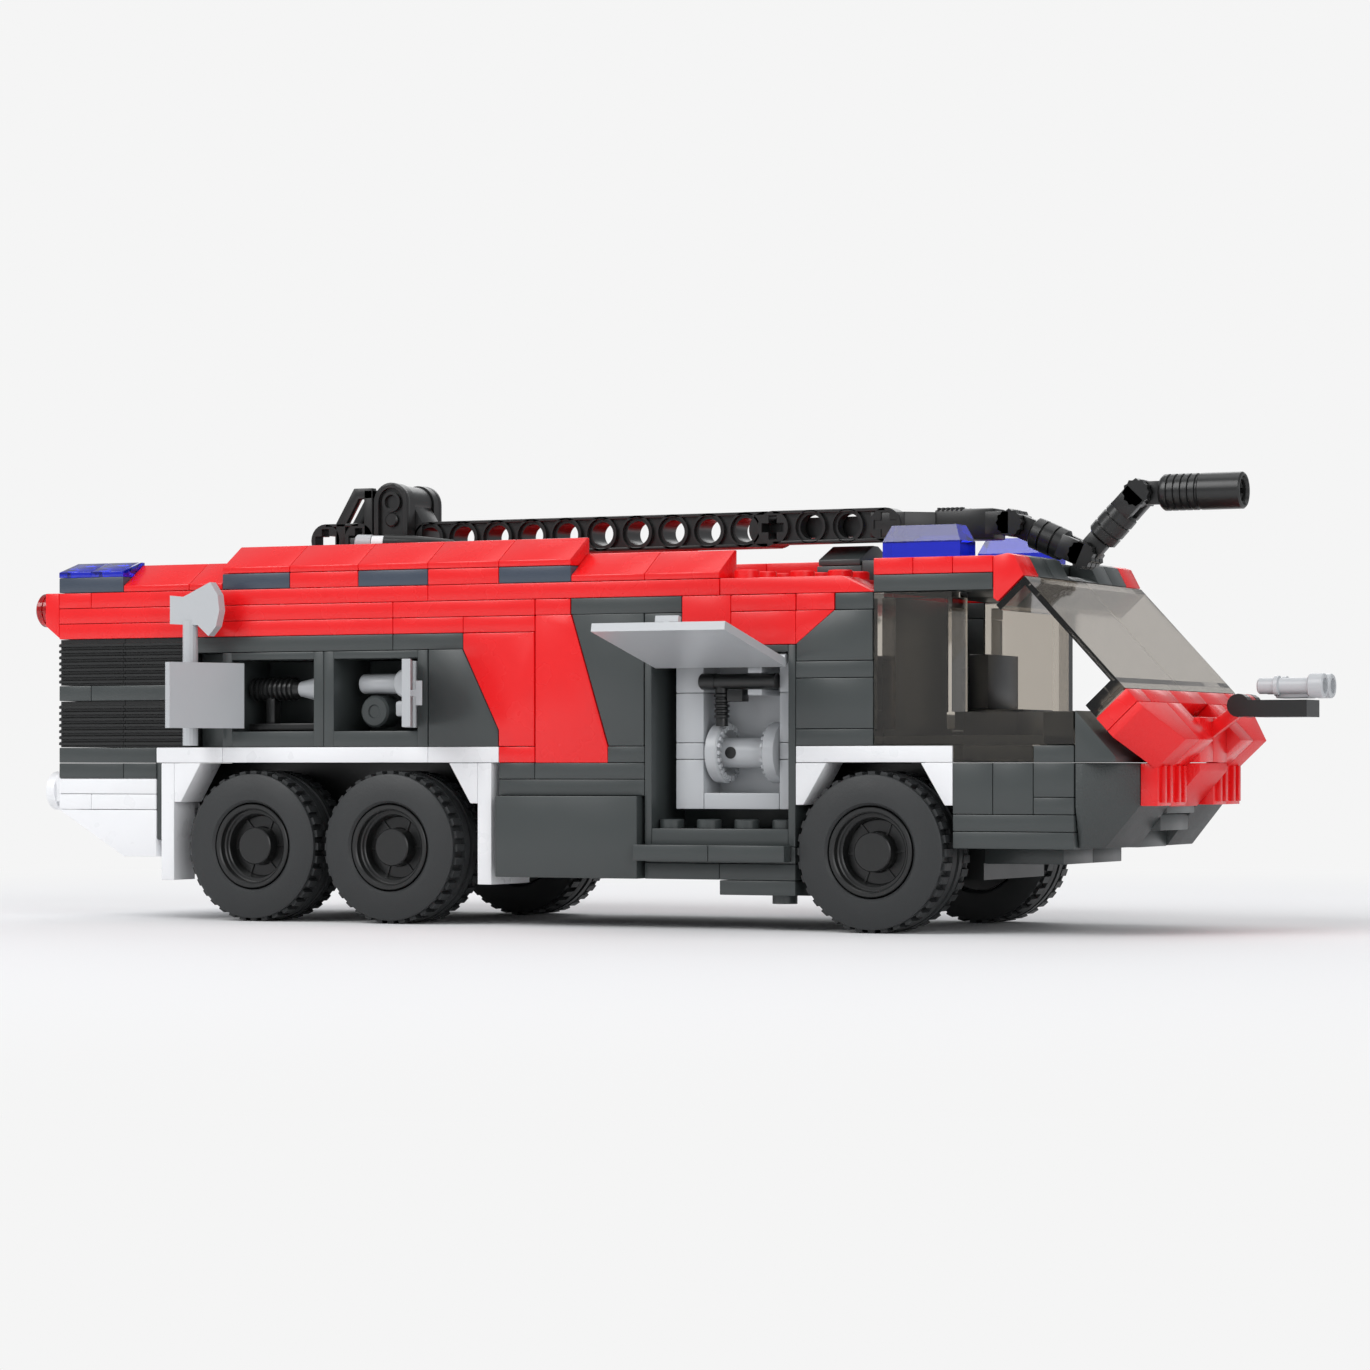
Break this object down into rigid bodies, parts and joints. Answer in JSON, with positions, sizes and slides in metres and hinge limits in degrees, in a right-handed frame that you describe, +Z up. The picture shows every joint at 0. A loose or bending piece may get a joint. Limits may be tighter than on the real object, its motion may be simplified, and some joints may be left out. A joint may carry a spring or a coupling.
{
  "type": "toy brick airport fire truck",
  "caption": "Six-wheeled toy airport fire truck of construction bricks, with opening side doors and flaps, a lifting roof boom, jointed water cannon and bumper nozzle.",
  "frame": {"origin": "on the ground under the middle of the overall box", "axes": "+X to the front of the truck, +Y to its left, +Z up"},
  "size_m": [0.269, 0.1172, 0.0898],
  "materials": {
    "red_abs": "glossy injection-moulded ABS, bright red",
    "dark_grey_abs": "glossy injection-moulded ABS, dark grey",
    "black_abs": "glossy injection-moulded ABS, black",
    "white_abs": "glossy injection-moulded ABS, white",
    "light_grey_abs": "glossy injection-moulded ABS, light grey",
    "smoke_polycarbonate": "clear smoke-tinted polycarbonate",
    "blue_polycarbonate": "clear blue polycarbonate",
    "red_polycarbonate": "clear red polycarbonate",
    "tyre_rubber": "soft moulded rubber-like compound, satin black"
  },
  "bodies": {
    "body": {"chassis": "black_abs", "rear_bumper": "white_abs", "rear_body": "dark_grey_abs", "engine_grille": "black_abs", "mudguards_rear": "white_abs", "mudguards_front": "white_abs", "mid_body": "dark_grey_abs", "upper_body": "red_abs", "roof_rails": "black_abs", "cab_body": "dark_grey_abs", "cab_roof": "red_abs", "nose_lower": "dark_grey_abs", "nose": "red_abs", "boom_tower": "black_abs", "boom_rest": "dark_grey_abs", "axle_rear": "black_abs", "axle_middle": "black_abs", "axle_front": "black_abs", "cupboards_right": "dark_grey_abs", "axe_right": "light_grey_abs", "hose_bay_right": "dark_grey_abs", "hose_rack_right": "light_grey_abs", "tail_light_right": "red_polycarbonate", "beacon_rear_right": "blue_polycarbonate", "cab_glass_right": "smoke_polycarbonate", "windscreen_right": "smoke_polycarbonate", "beacon_front_right": "blue_polycarbonate", "cupboards_left": "dark_grey_abs", "axe_left": "light_grey_abs", "hose_bay_left": "dark_grey_abs", "hose_rack_left": "light_grey_abs", "tail_light_left": "red_polycarbonate", "beacon_rear_left": "blue_polycarbonate", "cab_glass_left": "smoke_polycarbonate", "windscreen_left": "smoke_polycarbonate", "beacon_front_left": "blue_polycarbonate"},
    "wheel_rear_right": {"rim_rear_right": "black_abs", "tyre_rear_right": "tyre_rubber"},
    "wheel_rear_left": {"rim_rear_left": "black_abs", "tyre_rear_left": "tyre_rubber"},
    "wheel_middle_right": {"rim_middle_right": "black_abs", "tyre_middle_right": "tyre_rubber"},
    "wheel_middle_left": {"rim_middle_left": "black_abs", "tyre_middle_left": "tyre_rubber"},
    "wheel_front_right": {"rim_front_right": "black_abs", "tyre_front_right": "tyre_rubber"},
    "wheel_front_left": {"rim_front_left": "black_abs", "tyre_front_left": "tyre_rubber"},
    "door_rear_right": {"door_rear_right": "light_grey_abs"},
    "door_front_right": {"door_front_right": "light_grey_abs"},
    "flap_right": {"flap_right": "light_grey_abs"},
    "door_rear_left": {"door_rear_left": "light_grey_abs"},
    "door_front_left": {"door_front_left": "light_grey_abs"},
    "flap_left": {"flap_left": "light_grey_abs"},
    "boom": {"boom_beam": "black_abs"},
    "cannon_lower": {"cannon_lower_link": "black_abs"},
    "cannon_upper": {"cannon_upper_link": "black_abs"},
    "cannon": {"cannon_nozzle": "black_abs"},
    "turret": {"turret_arm": "black_abs", "turret_nozzle": "light_grey_abs"}
  },
  "joints": [
    {"name": "wheel_rear_right_turn", "type": "hinge", "parent": "body", "child": "wheel_rear_right", "pos_m": [-0.08005, 0, 0.0152], "axis": [0, 1, 0], "continuous": true},
    {"name": "wheel_rear_left_turn", "type": "hinge", "parent": "body", "child": "wheel_rear_left", "pos_m": [-0.08005, 0, 0.0152], "axis": [0, 1, 0], "continuous": true},
    {"name": "wheel_middle_right_turn", "type": "hinge", "parent": "body", "child": "wheel_middle_right", "pos_m": [-0.04805, 0, 0.0152], "axis": [0, 1, 0], "continuous": true},
    {"name": "wheel_middle_left_turn", "type": "hinge", "parent": "body", "child": "wheel_middle_left", "pos_m": [-0.04805, 0, 0.0152], "axis": [0, 1, 0], "continuous": true},
    {"name": "wheel_front_right_turn", "type": "hinge", "parent": "body", "child": "wheel_front_right", "pos_m": [0.05595, 0, 0.0152], "axis": [0, 1, 0], "continuous": true},
    {"name": "wheel_front_left_turn", "type": "hinge", "parent": "body", "child": "wheel_front_left", "pos_m": [0.05595, 0, 0.0152], "axis": [0, 1, 0], "continuous": true},
    {"name": "door_rear_right_hinge", "type": "hinge", "parent": "body", "child": "door_rear_right", "pos_m": [-0.08435, -0.0312, 0.0456], "axis": [0, 0, -1], "range_deg": [-115, 8]},
    {"name": "door_front_right_hinge", "type": "hinge", "parent": "body", "child": "door_front_right", "pos_m": [-0.04375, -0.0312, 0.0456], "axis": [0, 0, 1], "range_deg": [-118, 8]},
    {"name": "flap_right_hinge", "type": "hinge", "parent": "body", "child": "flap_right", "pos_m": [0.02395, -0.0312, 0.05172], "axis": [-1, 0, 0], "range_deg": [-103, 20]},
    {"name": "door_rear_left_hinge", "type": "hinge", "parent": "body", "child": "door_rear_left", "pos_m": [-0.08435, 0.0312, 0.0456], "axis": [0, 0, 1], "range_deg": [-115, 8]},
    {"name": "door_front_left_hinge", "type": "hinge", "parent": "body", "child": "door_front_left", "pos_m": [-0.04375, 0.0312, 0.0456], "axis": [0, 0, -1], "range_deg": [-118, 8]},
    {"name": "flap_left_hinge", "type": "hinge", "parent": "body", "child": "flap_left", "pos_m": [0.02395, 0.0312, 0.05172], "axis": [1, 0, 0], "range_deg": [-103, 20]},
    {"name": "boom_lift", "type": "hinge", "parent": "body", "child": "boom", "pos_m": [-0.06301, 0, 0.0858], "axis": [0, -1, 0], "range_deg": [0, 60]},
    {"name": "cannon_base", "type": "hinge", "parent": "boom", "child": "cannon_lower", "pos_m": [0.07181, 0, 0.0782], "axis": [0, -1, 0], "range_deg": [0, 75]},
    {"name": "cannon_elbow", "type": "hinge", "parent": "cannon_lower", "child": "cannon_upper", "pos_m": [0.08643, 0, 0.07169], "axis": [0, -1, 0], "range_deg": [-30, 30]},
    {"name": "cannon_wrist", "type": "hinge", "parent": "cannon_upper", "child": "cannon", "pos_m": [0.09754, 0, 0.0832], "axis": [0, -1, 0], "range_deg": [-30, 45]},
    {"name": "turret_tilt", "type": "hinge", "parent": "body", "child": "turret", "pos_m": [0.11805, 0, 0.0427], "axis": [0, -1, 0], "range_deg": [-30, 75]}
  ]
}
